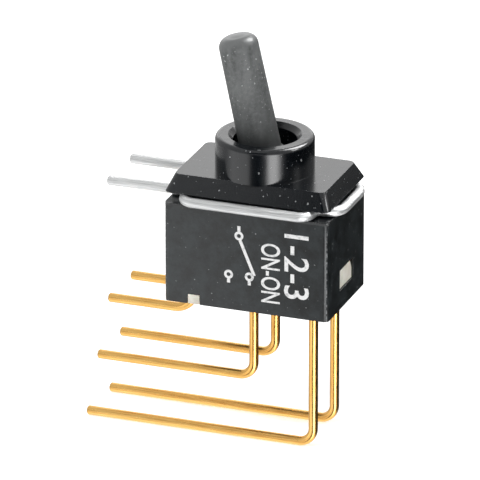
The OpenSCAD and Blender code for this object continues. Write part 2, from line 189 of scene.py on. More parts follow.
def hang_sheet(name, corners, material):
    """A flat sheet of the studio with the given corners."""
    mesh = bpy.data.meshes.new(name)
    mesh.from_pydata(corners, [], [(0, 1, 2, 3)])
    mesh.materials.append(material)
    sheet = bpy.data.objects.new(name, mesh)
    bpy.context.collection.objects.link(sheet)
    return sheet


def lay_floor():
    """White card that the lowest legs stand on; it reads white to the camera and keeps a faint shadow."""
    half, level = 1.5, cad_box[0].z - 0.00001
    card, tree = bare_material("white card")
    matt = add(tree, "ShaderNodeBsdfDiffuse", sockets={"Color": linear("#f2f2f2")})
    glow = add(tree, "ShaderNodeEmission", sockets={"Color": (1, 1, 1, 1), "Strength": 0.42})
    path = add(tree, "ShaderNodeLightPath")
    lifted = add(tree, "ShaderNodeAddShader", links={0: matt.outputs["BSDF"], 1: glow.outputs["Emission"]})
    shown = add(tree, "ShaderNodeMixShader", links={"Fac": path.outputs["Is Camera Ray"],
                                                    1: matt.outputs["BSDF"], 2: lifted.outputs["Shader"]})
    add(tree, "ShaderNodeOutputMaterial", links={"Surface": shown.outputs["Shader"]})
    corners = [(-half, -half, level), (half, -half, level), (half, half, level), (-half, half, level)]
    floor = hang_sheet("floor", corners, card)
    floor.visible_glossy = False


def stand_card():
    """A small black card in front, above the camera's view, that only gloss sees: it darkens the lid."""
    left, right, near, low, high = -0.0148, 0.02, -0.042, 0.014, 0.05
    black, tree = bare_material("black card")
    matt = add(tree, "ShaderNodeBsdfDiffuse", sockets={"Color": linear("#0a0a0a")})
    add(tree, "ShaderNodeOutputMaterial", links={"Surface": matt.outputs["BSDF"]})
    corners = [(left, near, low), (left, near, high), (right, near, high), (right, near, low)]
    card = hang_sheet("card", corners, black)
    card.visible_camera = card.visible_diffuse = card.visible_shadow = card.visible_transmission = False


place_camera()
place_lamp("key lamp", azimuth=-35, elevation=48, distance=0.5, size=0.35, power=2.0)
place_lamp("fill lamp", azimuth=100, elevation=32, distance=0.5, size=0.13, power=0.65, glints=True)
place_lamp("back lamp", azimuth=198, elevation=30, distance=0.5, size=0.4, power=0.8)
stand_card()
fill_world()
lay_floor()
bpy.context.scene.view_settings.view_transform = "Standard"

# Housing
# One black moulding: bushing, leaning lid, cross-shaped neck and hollow body. Glass-filled nylon, shot in a
# polished mould above the neck and a fine-grained one below, so that the body looks greyer than the bushing.


def start_material(name, **sockets):
    """A new material with a Principled shader; the constants are set on the shader's own sockets."""
    material, tree = bare_material(name)
    shader = add(tree, "ShaderNodeBsdfPrincipled", {k.replace("_", " "): v for k, v in sockets.items()})
    add(tree, "ShaderNodeOutputMaterial", links={"Surface": shader.outputs["BSDF"]})
    return material, tree, shader


def per_metre(size):
    """A pattern's scale, from the size in millimetres of one of its patches."""
    return 1000 / size


def black_nylon():
    """Moulded glass-filled nylon: charcoal, mottled where it flowed, with a few pale fibre ends, and pale
    grey along its edges, partly rubbed wear and partly a painted highlight where the rounded edges catch the
    light.
    It is darker and glossier above the neck. Its walls bow out very slightly: they fall by 9 times the square
    of the distance from the body's middle, all in metres."""
    neck_low, neck_high, neck_smooth, body_smooth = -0.00125, -0.00105, 0.13, 0.28
    handled_low, handled_high = 0.0011, 0.0013
    body_middle, bow = (0, 0, -0.00325), -9
    material, tree, shader = start_material("glass-filled nylon, moulded black", IOR=1.5)
    place = add(tree, "ShaderNodeTexCoord").outputs["Object"]
    height = add(tree, "ShaderNodeSeparateXYZ", links={"Vector": place}).outputs["Z"]
    upper = add(tree, "ShaderNodeMapRange", sockets={"From Min": neck_low, "From Max": neck_high},
                links={"Value": height}).outputs["Result"]
    # The patches' sizes in millimetres. The mould's grain, the fibre ends and the chips are a hundredth of a
    # millimetre or two in a real moulding, and are drawn as coarse as it takes to show them.
    sizes = {"flow": (0.714, 5, 0.75), "grain": (0.0714, 2, 0.5), "fibre ends": (0.125, 1, 0.5),
             "chips": (0.154, 3, 0.5), "sinks": (0.667, 3, 0.5)}
    flow, grain, fibre_ends, chips, sinks = (
        add(tree, "ShaderNodeTexNoise", links={"Vector": place},
            sockets={"Scale": per_metre(size), "Detail": detail, "Roughness": rough}).outputs["Fac"]
        for size, detail, rough in sizes.values())
    shade = add(tree, "ShaderNodeMapRange", sockets={"From Min": 0.38, "From Max": 0.62},
                links={"Value": flow})
    speck = add(tree, "ShaderNodeMapRange", sockets={"From Min": 0.715, "From Max": 0.785},
                links={"Value": fibre_ends})
    # Pale grey on the marked edges: partly rubbed wear, partly a painted highlight where they catch the
    # light.
    edge = add(tree, "ShaderNodeAttribute", attribute_name="rubbed_and_highlit").outputs["Fac"]
    chipped = add(tree, "ShaderNodeMapRange", sockets={"From Min": 0.47, "From Max": 0.6},
                  links={"Value": chips})
    worn = add(tree, "ShaderNodeMath", operation="MULTIPLY", links={0: edge, 1: chipped.outputs["Result"]})
    colour = add(tree, "ShaderNodeMix", data_type="RGBA", links={"Factor": shade.outputs["Result"]},
                 sockets={6: linear("#0b0e0f"), 7: linear("#212628")}).outputs[2]
    for share, code in ((upper, "#080c10"), (speck.outputs["Result"], "#8a8d8e"),
                        (worn.outputs["Value"], "#a2a6a7")):
        colour = add(tree, "ShaderNodeMix", data_type="RGBA", links={"Factor": share, 6: colour},
                     sockets={7: linear(code)}).outputs[2]
    tree.links.new(colour, shader.inputs["Base Color"])
    rough = add(tree, "ShaderNodeMapRange", sockets={"To Min": body_smooth, "To Max": neck_smooth},
                links={"Value": upper})
    mottled = add(tree, "ShaderNodeMath", operation="MULTIPLY_ADD", sockets={1: 0.12},
                  links={0: flow, 2: rough.outputs["Result"]})
    tree.links.new(mottled.outputs["Value"], shader.inputs["Roughness"])
    bump = add(tree, "ShaderNodeBump", sockets={"Strength": 0.3, "Distance": 0.000004},
               links={"Height": grain})
    handled = add(tree, "ShaderNodeMapRange", links={"Value": height},
                  sockets={"From Min": handled_low, "From Max": handled_high, "To Min": 0.12, "To Max": 0.8})
    waves = add(tree, "ShaderNodeBump", sockets={"Distance": 0.00002},
                links={"Height": sinks, "Strength": handled.outputs["Result"],
                       "Normal": bump.outputs["Normal"]})
    from_middle = add(tree, "ShaderNodeVectorMath", operation="SUBTRACT", sockets={1: body_middle},
                      links={0: place}).outputs["Vector"]
    squared = add(tree, "ShaderNodeVectorMath", operation="DOT_PRODUCT",
                  links={0: from_middle, 1: from_middle})
    fall = add(tree, "ShaderNodeMapRange", sockets={"To Min": bow, "To Max": 0}, links={"Value": upper})
    swell = add(tree, "ShaderNodeMath", operation="MULTIPLY",
                links={0: squared.outputs["Value"], 1: fall.outputs["Result"]})
    bowed = add(tree, "ShaderNodeBump", sockets={"Distance": 1, "Strength": 1},
                links={"Height": swell.outputs["Value"], "Normal": waves.outputs["Normal"]})
    tree.links.new(bowed.outputs["Normal"], shader.inputs["Normal"])
    return material


def joined_copy(node):
    """The node's solid as one skin: its loose triangles joined and its flat faces made whole."""
    bm = bmesh.new()
    bm.from_mesh(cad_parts[node].data)
    bmesh.ops.remove_doubles(bm, verts=bm.verts, dist=1e-7)
    bmesh.ops.dissolve_limit(bm, angle_limit=math.radians(0.3), verts=bm.verts, edges=bm.edges)
    return bm


def round_edges(bm, radius, sharp=30, inner=()):
    """Rounds every outer edge sharper than the given angle, as a mould does, and marks the strips outside the
    bushing and the middles of the upright corners, to be painted pale: partly rubbed wear, partly a painted
    highlight where these rounded edges catch the light. Inner edges are the corners that the mould rounds
    too."""
    past_bushing, both_ways = 0.00205, 0.6
    edges = [e for e in bm.edges
             if e.is_manifold and e.calc_face_angle() > math.radians(sharp) and (e.is_convex or e in inner)]
    rubbed_and_highlit = bm.faces.layers.float.new("rubbed_and_highlit")
    strips = bmesh.ops.bevel(bm, geom=edges, offset=radius, segments=2, profile=0.5, affect="EDGES",
                             clamp_overlap=True)
    corners = [face for face in bm.faces if min(abs(face.normal.x), abs(face.normal.y)) > both_ways]
    for face in strips["faces"] + corners:
        face[rubbed_and_highlit] = face.calc_center_median().xy.length > past_bushing


def plain_mesh(piece):
    """The object's mesh as its modifiers leave it."""
    bpy.context.view_layer.update()
    return bpy.data.meshes.new_from_object(piece.evaluated_get(bpy.context.evaluated_depsgraph_get()))


def add_piece(name, bm, material, body, slot, *nodes):
    """Makes the finished piece: smooth where it curves, and fixed to its body in place of its nodes."""
    mesh = bpy.data.meshes.new(name)
    bm.to_mesh(mesh)
    bm.free()
    for polygon in mesh.polygons:
        polygon.use_smooth = True
    mesh.set_sharp_from_angle(angle=math.radians(40))
    mesh.materials.append(material)
    piece = bpy.data.objects.new(name, mesh)
    bpy.context.collection.objects.link(piece)
    even = piece.modifiers.new("even", "WEIGHTED_NORMAL")
    even.keep_sharp = True
    piece.data = plain_mesh(piece)
    piece.modifiers.clear()
    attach(piece, body)
    if nodes:
        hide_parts(*nodes)
    return piece


def true_rounds(mesh):
    """Gives the bushing's turned faces the normals of true rounds, so that gloss runs over them without
    steps: its wall and bore, the rim's rounding and the slope into the bore."""
    slack, upright = 0.00002, 0.05
    normals = [corner.vector.copy() for corner in mesh.corner_normals]
    for face in mesh.polygons:
        out = Vector((face.center.x, face.center.y, 0)).normalized()
        radius, height, outward = face.center.xy.length, face.center.z, face.normal.dot(out)
        if height < foot_radius or not bore_radius - slack < radius < bushing_radius + slack / 2:
            continue
        for index in face.loop_indices:
            point = mesh.vertices[mesh.loops[index].vertex_index].co
            out = Vector((point.x, point.y, 0)).normalized()
            if abs(face.normal.z) < upright:
                normals[index] = out if outward > 0 else -out
            elif outward > upright and height > bushing_height - rim_radius:
                centre = out * (bushing_radius - rim_radius) + Vector((0, 0, bushing_height - rim_radius))
                normals[index] = (point - centre).normalized()
            elif abs(outward + face.normal.z) < upright and outward < 0:
                normals[index] = (Vector((0, 0, 1)) - out).normalized()
    mesh.normals_split_custom_set(normals)


def at_foot(edge):
    """Whether the edge is part of the ring where the bushing stands on the lid."""
    return all(abs(v.co.z) < 1e-6 and abs(v.co.xy.length - bushing_radius) < 1e-5 for v in edge.verts)


shell = joined_copy("housing")
bushing_radius, bushing_height, bore_radius = 0.002, 0.00144, 0.00128
rim_radius, foot_radius = 0.0002, 0.00004
round_edges(shell, foot_radius, inner={edge for edge in shell.edges if at_foot(edge)})
moulding = add_piece("housing_moulding", shell, black_nylon(), "case", "housing", "housing")
true_rounds(moulding.data)

# Print
# White marks pad-printed on the front of the body, read with the switch on its left end. They are plain: the
# two positions, the terminals' numbers and the sign for a changeover contact. The ink is a few microns proud.


def print_marks():
    """The marks as closed forms in millimetres, X along the line of reading and Y to the tops of the
    letters. Each word has its place, its height and how much it is narrowed."""
    ink, bolder, around = 0.004, 0.012, 24
    marks = bmesh.new()
    for words, along, across, tall, narrow in (("1-2-3", 1.5, 1.66, 1.46, 1.0),
                                               ("ON-ON", 2.28, 0.68, 1.12, 0.66)):
        curve = bpy.data.curves.new("words", "FONT")
        curve.body = words
        curve.size = tall
        curve.extrude = ink
        curve.offset = bolder
        text = bpy.data.objects.new("words", curve)
        bpy.context.collection.objects.link(text)
        mesh = plain_mesh(text)
        mesh.transform(Matrix.Translation((along, across, 0)) @ Matrix.Diagonal((narrow, 1, 1, 1)))
        marks.from_mesh(mesh)
        bpy.data.objects.remove(text)
    common, contacts = Vector((2.15, -0.28)), [Vector((3.85, 0.16)), Vector((3.85, -0.72))]
    dot, stroke, common_lead, contact_lead = 0.19, 0.13, 0.42, 0.36
    hole = dot - stroke * 0.8
    for centre in [common] + contacts:
        rings = [[marks.verts.new((centre.x + r * math.cos(a), centre.y + r * math.sin(a), z))
                  for a in [2 * math.pi * i / around for i in range(around)]]
                 for r, z in ((dot, -ink), (dot, ink), (hole, ink), (hole, -ink))]
        for a, b in zip(rings, rings[1:] + rings[:1]):
            for i in range(around):
                j = (i + 1) % around
                marks.faces.new((a[i], a[j], b[j], b[i]))
    blade = (contacts[0] - common).normalized()
    bars = [(common + blade * dot, contacts[0] - blade * dot * 0.4 + Vector((0, dot * 1.2)))]
    bars += [(Vector((common.x - common_lead, common.y)), Vector((common.x - dot, common.y)))]
    bars += [(Vector((c.x + dot, c.y)), Vector((c.x + contact_lead, c.y))) for c in contacts]
    for start, end in bars:
        side = (end - start).normalized().orthogonal() * stroke / 2
        outline = [start - side, end - side, end + side, start + side]
        low, high = ([marks.verts.new((p.x, p.y, z)) for p in outline] for z in (-ink, ink))
        marks.faces.new(high)
        marks.faces.new(low[::-1])
        for i in range(4):
            marks.faces.new((low[i], low[(i + 1) % 4], high[(i + 1) % 4], high[i]))
    bmesh.ops.remove_doubles(marks, verts=marks.verts, dist=0.00001)
    bmesh.ops.recalc_face_normals(marks, faces=marks.faces)
    return marks


def set_tones(ramp, *tones):
    """Gives a ramp its tones, each one a place and a hex code."""
    for stop, (place, code) in zip(ramp.color_ramp.elements, tones):
        stop.position = place
        stop.color = linear(code)


def pad_ink():
    """Pad-printed white ink: matt, and so thin that the black greys it in patches as wide as a pen's line."""
    thin_patch = 0.143
    material, tree, shader = start_material("pad-printed ink, white", Roughness=0.55)
    place = add(tree, "ShaderNodeTexCoord").outputs["Object"]
    thin = add(tree, "ShaderNodeTexNoise", sockets={"Scale": per_metre(thin_patch), "Detail": 3},
               links={"Vector": place})
    cover = add(tree, "ShaderNodeValToRGB", links={"Fac": thin.outputs["Fac"]})
    set_tones(cover, (0.3, "#b9bbbb"), (0.5, "#e4e4e4"))
    tree.links.new(cover.outputs["Color"], shader.inputs["Base Color"])
    return material


marks = print_marks()
body_front = -0.002254
read_down = Matrix(((0, 0.001, 0, 0), (0, 0, -0.001, body_front), (-0.001, 0, 0, 0), (0, 0, 0, 1)))
marks.transform(read_down)
add_piece("print", marks, pad_ink(), "case", "base")

# Base
# Off-white moulding pressed into the body from below, held by a hook in each end's window. It carries the six
# legs. Natural nylon, with soft corners.


def natural_nylon():
    """Undyed nylon: slightly warm and waxy, a little translucent, and faintly cloudy."""
    cloud_size = 0.556
    material, tree, shader = start_material("nylon, natural", Roughness=0.42, IOR=1.53,
                                            Subsurface_Weight=0.15, Subsurface_Scale=0.0002)
    place = add(tree, "ShaderNodeTexCoord").outputs["Object"]
    cloud = add(tree, "ShaderNodeTexNoise", sockets={"Scale": per_metre(cloud_size), "Detail": 3},
                links={"Vector": place})
    tint = add(tree, "ShaderNodeValToRGB", links={"Fac": cloud.outputs["Fac"]})
    set_tones(tint, (0.35, "#cfcbbd"), (0.65, "#dedbd0"))
    tree.links.new(tint.outputs["Color"], shader.inputs["Base Color"])
    bump = add(tree, "ShaderNodeBump", sockets={"Strength": 0.2, "Distance": 0.000006},
               links={"Height": cloud.outputs["Fac"]})
    tree.links.new(bump.outputs["Normal"], shader.inputs["Normal"])
    return material


base = joined_copy("base")
round_edges(base, 0.000025)
off_white = natural_nylon()
add_piece("base_moulding", base, off_white, "case", "base", "base")

# Bracket wire
# One length of tinned round wire bent round the neck of the housing, between lid and body. Its two chamfered
# ends are board pins. Hot-dipped tin over drawn wire is bright, with faint drawing lines along it.


def open_tree(name, **inputs):
    """A new Geometry Nodes tree and its inputs, each named with its kind."""
    tree = bpy.data.node_groups.new(name, "GeometryNodeTree")
    for label, kind in inputs.items():
        tree.interface.new_socket(label, in_out="INPUT", socket_type="NodeSocket" + kind)
    tree.interface.new_socket("Mesh", in_out="OUTPUT", socket_type="NodeSocketGeometry")
    return tree, add(tree, "NodeGroupInput").outputs


def close_tree(tree, mesh, finish):
    """Ends a tree: its instances are made real, and then it gets its material."""
    whole = add(tree, "GeometryNodeRealizeInstances", links={"Geometry": mesh})
    finished = add(tree, "GeometryNodeSetMaterial",
                   links={"Geometry": whole.outputs["Geometry"], "Material": finish})
    add(tree, "NodeGroupOutput", links={"Mesh": finished.outputs["Geometry"]})
    return tree


def from_nodes(tree, mesh, **inputs):
    """The mesh that a tree makes of another one, with the tree's inputs given by their names."""
    holder = bpy.data.objects.new(tree.name, mesh)
    bpy.context.collection.objects.link(holder)
    modifier = holder.modifiers.new(tree.name, "NODES")
    modifier.node_group = tree
    for item in tree.interface.items_tree:
        if item.name in inputs:
            modifier[item.identifier] = inputs[item.name]
    made = plain_mesh(holder)
    bpy.data.objects.remove(holder)
    return made


def wire_tree():
    """A round wire along a line of points: each corner has its own bend, and the cut ends are chamfered. The
    attribute drawn goes round the wire in radii and along it in millimetres."""
    tree, given = open_tree("round wire", line="Geometry", wire_radius="Float", sides="Int", bend_steps="Int",
                            finish="Material")
    line = add(tree, "GeometryNodeMeshToCurve", links={"Mesh": given["line"]})
    bend = add(tree, "GeometryNodeInputNamedAttribute", sockets={"Name": "bend"}, data_type="FLOAT")
    bent = add(tree, "GeometryNodeFilletCurve", mode="POLY",
               links={"Curve": line.outputs["Curve"], "Radius": bend.outputs["Attribute"],
                      "Count": given["bend_steps"]})
    far = add(tree, "GeometryNodeSplineParameter").outputs["Length"]
    along = add(tree, "GeometryNodeCaptureAttribute", links={"Geometry": bent.outputs["Curve"]})
    along.capture_items.new("FLOAT", "along")
    tree.links.new(far, along.inputs["along"])
    circle = add(tree, "GeometryNodeCurvePrimitiveCircle",
                 links={"Resolution": given["sides"], "Radius": given["wire_radius"]})
    round_share = add(tree, "GeometryNodeSplineParameter").outputs["Factor"]
    turn = add(tree, "ShaderNodeMath", operation="MULTIPLY", sockets={1: 2 * math.pi}, links={0: round_share})
    cosine = add(tree, "ShaderNodeMath", operation="COSINE", links={0: turn.outputs["Value"]})
    sine = add(tree, "ShaderNodeMath", operation="SINE", links={0: turn.outputs["Value"]})
    ring = add(tree, "ShaderNodeCombineXYZ", links={"X": cosine.outputs["Value"], "Y": sine.outputs["Value"]})
    around = add(tree, "GeometryNodeCaptureAttribute", links={"Geometry": circle.outputs["Curve"]})
    around.capture_items.new("VECTOR", "around")
    tree.links.new(ring.outputs["Vector"], around.inputs["around"])
    cut = add(tree, "GeometryNodeInputNamedAttribute", sockets={"Name": "cut"}, data_type="FLOAT")
    swept = add(tree, "GeometryNodeCurveToMesh", sockets={"Fill Caps": True},
                links={"Curve": along.outputs["Geometry"], "Profile Curve": around.outputs["Geometry"],
                       "Scale": cut.outputs["Attribute"]})
    lengthwise = add(tree, "ShaderNodeMath", operation="MULTIPLY", sockets={1: 1000},
                     links={0: along.outputs["along"]})
    lift = add(tree, "ShaderNodeCombineXYZ", links={"Z": lengthwise.outputs["Value"]})
    drawn = add(tree, "ShaderNodeVectorMath", operation="ADD",
                links={0: around.outputs["around"], 1: lift.outputs["Vector"]})
    marked = add(tree, "GeometryNodeStoreNamedAttribute", sockets={"Name": "drawn"}, data_type="FLOAT_VECTOR",
                 links={"Geometry": swept.outputs["Mesh"], "Value": drawn.outputs["Vector"]})
    return close_tree(tree, marked.outputs["Geometry"], given["finish"])


def draw_wire(points, bends, radius, chamfer, finish):
    """The wire's mesh. Points are in millimetres, from cut end to cut end; bends are its corners' radii."""
    points = [Vector(p) / 1000 for p in points]
    ends = [(points[1] - points[0]).normalized() * chamfer, (points[-2] - points[-1]).normalized() * chamfer]
    line = [points[0], points[0] + ends[0]] + points[1:-1] + [points[-1] + ends[1], points[-1]]
    mesh = bpy.data.meshes.new("wire")
    mesh.from_pydata(line, [(i, i + 1) for i in range(len(line) - 1)], [])
    bend = mesh.attributes.new("bend", "FLOAT", "POINT")
    bend.data.foreach_set("value", [0, 0] + [b / 1000 for b in bends] + [0, 0])
    cut = mesh.attributes.new("cut", "FLOAT", "POINT")
    narrowed = 1 - chamfer / radius
    cut.data.foreach_set("value", [narrowed] + [1] * (len(line) - 2) + [narrowed])
    return from_nodes(round_wire, mesh, wire_radius=radius, sides=28, bend_steps=12, finish=finish)


def drawn_metal(name, dark, light, rough, metal):
    """Bright plating on drawn wire: lines a few hundredths of a millimetre wide run along it, and it is dull
    in patches. The lines are two or three times as wide as real ones, or they wouldn't show."""
    radius, line_wide, line_long, patch_long = 0.2, 0.0303, 1.3, 0.4
    material, tree, shader = start_material(name, Metallic=metal)
    place = add(tree, "ShaderNodeAttribute", attribute_name="drawn").outputs["Vector"]
    across, along = radius / line_wide, 1 / line_long
    stretched = add(tree, "ShaderNodeMapping", sockets={"Scale": (across, across, along)},
                    links={"Vector": place})
    lines = add(tree, "ShaderNodeTexNoise", sockets={"Scale": 1, "Detail": 5},
                links={"Vector": stretched.outputs["Vector"]})
    patch = add(tree, "ShaderNodeTexNoise", sockets={"Scale": 1 / patch_long, "Detail": 3},
                links={"Vector": place})
    tint = add(tree, "ShaderNodeValToRGB", links={"Fac": lines.outputs["Fac"]})
    set_tones(tint, (0.3, dark), (0.6, light))
    tree.links.new(tint.outputs["Color"], shader.inputs["Base Color"])
    dull = add(tree, "ShaderNodeMapRange", links={"Value": patch.outputs["Fac"]},
               sockets={"From Min": 0.3, "From Max": 0.7, "To Min": rough, "To Max": rough + 0.12})
    tree.links.new(dull.outputs["Result"], shader.inputs["Roughness"])
    bump = add(tree, "ShaderNodeBump", sockets={"Strength": 0.3, "Distance": 0.000004},
               links={"Height": lines.outputs["Fac"]})
    tree.links.new(bump.outputs["Normal"], shader.inputs["Normal"])
    return material


round_wire = wire_tree()
tin = drawn_metal("tinned wire, bright", "#a9aaab", "#d6d7d7", 0.42, 0.85)
level, tip, jog = -0.92, 6.22, 2.68
row, run, far_row, far_run = 1.27, 2.46, 1.53, 3.685
half = [(-tip, -row, level), (-jog, -row, level), (-jog, -run, level), (jog, -run, level),
        (jog, -far_row, level), (far_run, -far_row, level)]
bends = [0.7, 0.49, 0.49, 0.305, 0.7]
route = half + [(x, -y, z) for x, y, z in reversed(half)]
wire = bmesh.new()
wire.from_mesh(draw_wire(route, bends + bends[::-1], radius=0.0002, chamfer=0.00005, finish=tin))
bmesh.ops.remove_doubles(wire, verts=wire.verts, dist=0.000001)
add_piece("bracket_wire", wire, tin, "case", "bracket_wire", "support_bracket")

# Legs
# Six round legs with a gold-plated head inside the body and a right-angle bend below it: two rows of three,
# so that the body stands off the board on edge. Sealed into the base with epoxy.


def leg_head(middle):
    """Middle legs carry an upright with a round top that a contact rocks on, outer legs a pad with a domed
    contact. In millimetres, standing on the origin."""
    foot_half, foot_top, stem, stem_top, deep_half = 0.42, 0.12, 0.2, 0.4, 0.31
    pad_half, pad_top, dome = 0.3, 0.2, 0.15
    head = bmesh.new()
    if middle:
        angles = [math.pi * i / 12 for i in range(13)]
        top = [(stem * math.cos(a), stem_top + stem * math.sin(a)) for a in angles]
        outline = [(-foot_half, 0), (foot_half, 0), (foot_half, foot_top), (stem, foot_top)]
        outline += top + [(-stem, foot_top), (-foot_half, foot_top)]
    else:
        outline = [(-pad_half, 0), (pad_half, 0), (pad_half, pad_top), (-pad_half, pad_top)]
    near = [head.verts.new((x, -deep_half, z)) for x, z in outline]
    skin = bmesh.ops.extrude_face_region(head, geom=[head.faces.new(near)])["geom"]
    far = [v for v in skin if isinstance(v, bmesh.types.BMVert)]
    bmesh.ops.translate(head, vec=(0, 2 * deep_half, 0), verts=far)
    if not middle:
        bmesh.ops.create_uvsphere(head, u_segments=24, v_segments=12, radius=dome,
                                  matrix=Matrix.Translation((0, 0, pad_top)))
    bmesh.ops.recalc_face_normals(head, faces=head.faces)
    return head


gold = drawn_metal("gold-plated wire", "#c48a40", "#e9bd70", 0.24, 1)
head_foot, wire_top = -4.56, -4.5
# Each leg's place along the body, how low it turns to the board, how far it reaches there, and its bend.
columns = ((-2.54, -6, 6.22, 0.84), (0, -8.54, 6.7, 0.6), (2.54, -11.08, 7.18, 0.6))
for pole, side in (("front", -1.27), ("rear", 1.27)):
    for number, (x, low, reach, bend) in enumerate(columns, 1):
        leg = leg_head(number == 2)
        bmesh.ops.translate(leg, vec=(x, side, head_foot), verts=leg.verts)
        bmesh.ops.scale(leg, vec=(0.001, 0.001, 0.001), verts=leg.verts)
        points = [(-reach, side, low), (x, side, low), (x, side, wire_top)]
        leg.from_mesh(draw_wire(points, [bend], radius=0.00019, chamfer=0.00005, finish=gold))
        add_piece(f"leg_{pole}_{number}", leg, gold, "case", "terminal_gold", f"terminal_{pole}_{number}")

# Lever
# Moulded in dark grey nylon, filled with carbon against static: a slightly tapered shaft with a rounded end,
# a ball that turns in the bushing and a tail that carries the drive block. A steel pin is its axle.


def turn_profile(bm, profile, sides):
    """A skin of revolution about Z from (radius, height) points that start and end on the axis."""
    angles = [2 * math.pi * i / sides for i in range(sides)]
    rings = [[bm.verts.new((r * math.cos(a), r * math.sin(a), z)) for a in angles]
             for r, z in profile[1:-1]]
    low, high = bm.verts.new((0, 0, profile[0][1])), bm.verts.new((0, 0, profile[-1][1]))
    for i in range(sides):
        j = (i + 1) % sides
        bm.faces.new((low, rings[0][j], rings[0][i]))
        bm.faces.new((high, rings[-1][i], rings[-1][j]))
        for a, b in zip(rings, rings[1:]):
            bm.faces.new((a[i], a[j], b[j], b[i]))


def arc(centre_r, centre_z, radius, start, end, steps):
    """Points of a profile's arc, from one angle above level to another."""
    angles = [math.radians(start + (end - start) * i / steps) for i in range(steps + 1)]
    return [(centre_r + radius * math.cos(a), centre_z + radius * math.sin(a)) for a in angles]


def grey_nylon():
    """Carbon-filled nylon from a blasted mould: a satin grey grain with a few pale specks, with painted shade
    darkening it towards the foot, where the bushing shades it, and polished by fingers round the tip. The
    blasting's pits and the dust are drawn some three times as coarse as real ones, or they wouldn't show.
    Sizes of patches are in millimetres."""
    streak, streak_share, pit_size, dust_size = 0.385, 0.15, 0.143, 0.1053
    foot_shade_low, foot_shade_high, tip_low, tip_high = 0.0012, 0.0034, 0.0051, 0.0054
    material, tree, shader = start_material("carbon-filled nylon, moulded grey", IOR=1.53)
    place = add(tree, "ShaderNodeTexCoord").outputs["Object"]
    height = add(tree, "ShaderNodeVectorMath", operation="DOT_PRODUCT", sockets={1: shaft_axis},
                 links={0: place}).outputs["Value"]
    drawn_out = add(tree, "ShaderNodeMapping", sockets={"Scale": (1, 1, streak_share)},
                    links={"Vector": place})
    cloud = add(tree, "ShaderNodeTexNoise", sockets={"Scale": per_metre(streak), "Detail": 4},
                links={"Vector": drawn_out.outputs["Vector"]})
    grain = add(tree, "ShaderNodeTexNoise", links={"Vector": place},
                sockets={"Scale": per_metre(pit_size), "Detail": 4, "Roughness": 0.7})
    dust = add(tree, "ShaderNodeTexNoise", links={"Vector": place},
               sockets={"Scale": per_metre(dust_size), "Detail": 1})
    patch = add(tree, "ShaderNodeMapRange", sockets={"From Min": 0.35, "From Max": 0.65},
                links={"Value": cloud.outputs["Fac"]})
    pit = add(tree, "ShaderNodeMapRange", sockets={"From Min": 0.42, "From Max": 0.68, "To Max": 0.55},
              links={"Value": grain.outputs["Fac"]})
    speck = add(tree, "ShaderNodeMapRange", sockets={"From Min": 0.7, "From Max": 0.76},
                links={"Value": dust.outputs["Fac"]})
    # Painted shade: the grey darkens towards the lever's foot, where the bushing shades it.
    foot_shade = add(tree, "ShaderNodeMapRange", links={"Value": height},
                 sockets={"From Min": foot_shade_low, "From Max": foot_shade_high, "To Min": 0.85, "To Max": 0})
    handled = add(tree, "ShaderNodeMapRange", links={"Value": height},
                  sockets={"From Min": tip_low, "From Max": tip_high, "To Max": 0.9})
    colour = add(tree, "ShaderNodeMix", data_type="RGBA", links={"Factor": patch.outputs["Result"]},
                 sockets={6: linear("#3f4141"), 7: linear("#5d5f5f")}).outputs[2]
    for share, code in ((pit, "#6f7171"), (speck, "#a8aaaa"), (foot_shade, "#222424"), (handled, "#5c5e5e")):
        colour = add(tree, "ShaderNodeMix", data_type="RGBA", sockets={7: linear(code)},
                     links={"Factor": share.outputs["Result"], 6: colour}).outputs[2]
    tree.links.new(colour, shader.inputs["Base Color"])
    rough = add(tree, "ShaderNodeMath", operation="MULTIPLY_ADD", sockets={1: -0.28, 2: 0.6},
                links={0: handled.outputs["Result"]})
    tree.links.new(rough.outputs["Value"], shader.inputs["Roughness"])
    bump = add(tree, "ShaderNodeBump", sockets={"Strength": 0.35, "Distance": 0.000008},
               links={"Height": grain.outputs["Fac"]})
    tree.links.new(bump.outputs["Normal"], shader.inputs["Normal"])
    return material


lean = Matrix.Rotation(math.radians(-12.5), 4, "Y")
shaft_axis = lean.to_3x3() @ Vector((0, 0, 1))
ball, tail, tail_end, tail_chamfer = 1.16, 0.45, 2.44, 0.05
tail_meets = math.degrees(math.asin(math.sqrt(ball ** 2 - tail ** 2) / ball))
shaft_meets, shaft_foot, shaft_top, shoulder, rounding = 44.1, (0.8335, 0.83), 5.628, (0.8, 5.159), 0.42
crown_edge, crown_rise = 0.38, 0.05
crown = (crown_edge ** 2 + crown_rise ** 2) / (2 * crown_rise)
crown_half = math.degrees(math.asin(crown_edge / crown))
profile = [(0, -tail_end), (tail - tail_chamfer, -tail_end), (tail, -tail_end + tail_chamfer)]
profile += arc(0, 0, ball, -tail_meets, shaft_meets, 40)
profile += [shaft_foot, shoulder] + arc(crown_edge, shoulder[1], rounding, 9, 90, 12)
profile += arc(0, shaft_top - crown, crown, 90 - crown_half * 0.8, 90 - crown_half * 0.2, 4)
profile += [(0, shaft_top)]
lever = bmesh.new()
turn_profile(lever, profile, 96)
bmesh.ops.scale(lever, vec=(0.001, 0.001, 0.001), verts=lever.verts)
lever.transform(lean)
add_piece("bat_lever", lever, grey_nylon(), "lever", "lever", "toggle_lever")

# Pivot pin
# Ground steel pin through the lever's ball, held in slots of the housing. Bright, with fine rings from the
# grinding and a small chamfer on each end.


